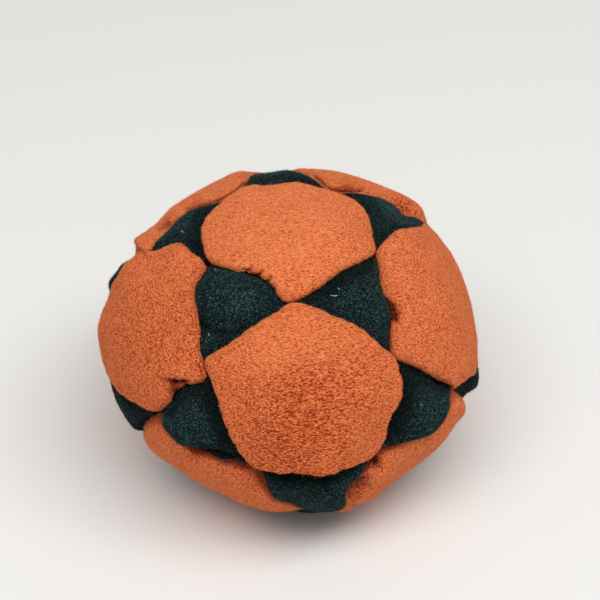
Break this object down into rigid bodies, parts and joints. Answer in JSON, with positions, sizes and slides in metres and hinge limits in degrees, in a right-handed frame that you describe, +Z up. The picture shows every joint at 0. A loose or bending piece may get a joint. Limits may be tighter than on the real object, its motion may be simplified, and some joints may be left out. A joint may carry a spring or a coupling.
{
  "type": "footbag",
  "caption": "Small sand-filled suede footbag, a ball of sewn orange five-sided and green three-sided panels, slumped at rest on a flat foot.",
  "frame": {"origin": "on the ground, under the middle of the flat foot that the bag rests on", "axes": "+Z up through the middle of the top orange panel; -Y to the front, through the middle of the first upper orange panel; +X to the right"},
  "size_m": [0.0538, 0.0533, 0.0438],
  "materials": {
    "orange_suede": "matte synthetic suede with a fine pebbled nap",
    "green_suede": "matte dark green synthetic suede with a fine wrinkled nap",
    "thread": "waxed dark polyester sewing thread",
    "sand": "loose fine sand"
  },
  "bodies": {
    "root": {"orange_panel_top": "orange_suede", "orange_panel_upper_1": "orange_suede", "orange_panel_upper_2": "orange_suede", "orange_panel_upper_3": "orange_suede", "orange_panel_upper_4": "orange_suede", "orange_panel_upper_5": "orange_suede", "orange_panel_lower_1": "orange_suede", "orange_panel_lower_2": "orange_suede", "orange_panel_lower_3": "orange_suede", "orange_panel_lower_4": "orange_suede", "orange_panel_lower_5": "orange_suede", "orange_panel_base": "orange_suede", "green_panel_crown_1": "green_suede", "green_panel_crown_2": "green_suede", "green_panel_crown_3": "green_suede", "green_panel_crown_4": "green_suede", "green_panel_crown_5": "green_suede", "green_panel_upper_1": "green_suede", "green_panel_upper_2": "green_suede", "green_panel_upper_3": "green_suede", "green_panel_upper_4": "green_suede", "green_panel_upper_5": "green_suede", "green_panel_lower_1": "green_suede", "green_panel_lower_2": "green_suede", "green_panel_lower_3": "green_suede", "green_panel_lower_4": "green_suede", "green_panel_lower_5": "green_suede", "green_panel_foot_1": "green_suede", "green_panel_foot_2": "green_suede", "green_panel_foot_3": "green_suede", "green_panel_foot_4": "green_suede", "green_panel_foot_5": "green_suede", "seam_thread_top": "thread", "seam_thread_upper_1": "thread", "seam_thread_upper_2": "thread", "seam_thread_upper_3": "thread", "seam_thread_upper_4": "thread", "seam_thread_upper_5": "thread", "seam_thread_lower_1": "thread", "seam_thread_lower_2": "thread", "seam_thread_lower_3": "thread", "seam_thread_lower_4": "thread", "seam_thread_lower_5": "thread", "seam_thread_base": "thread", "sand_fill": "sand"}
  },
  "joints": []
}
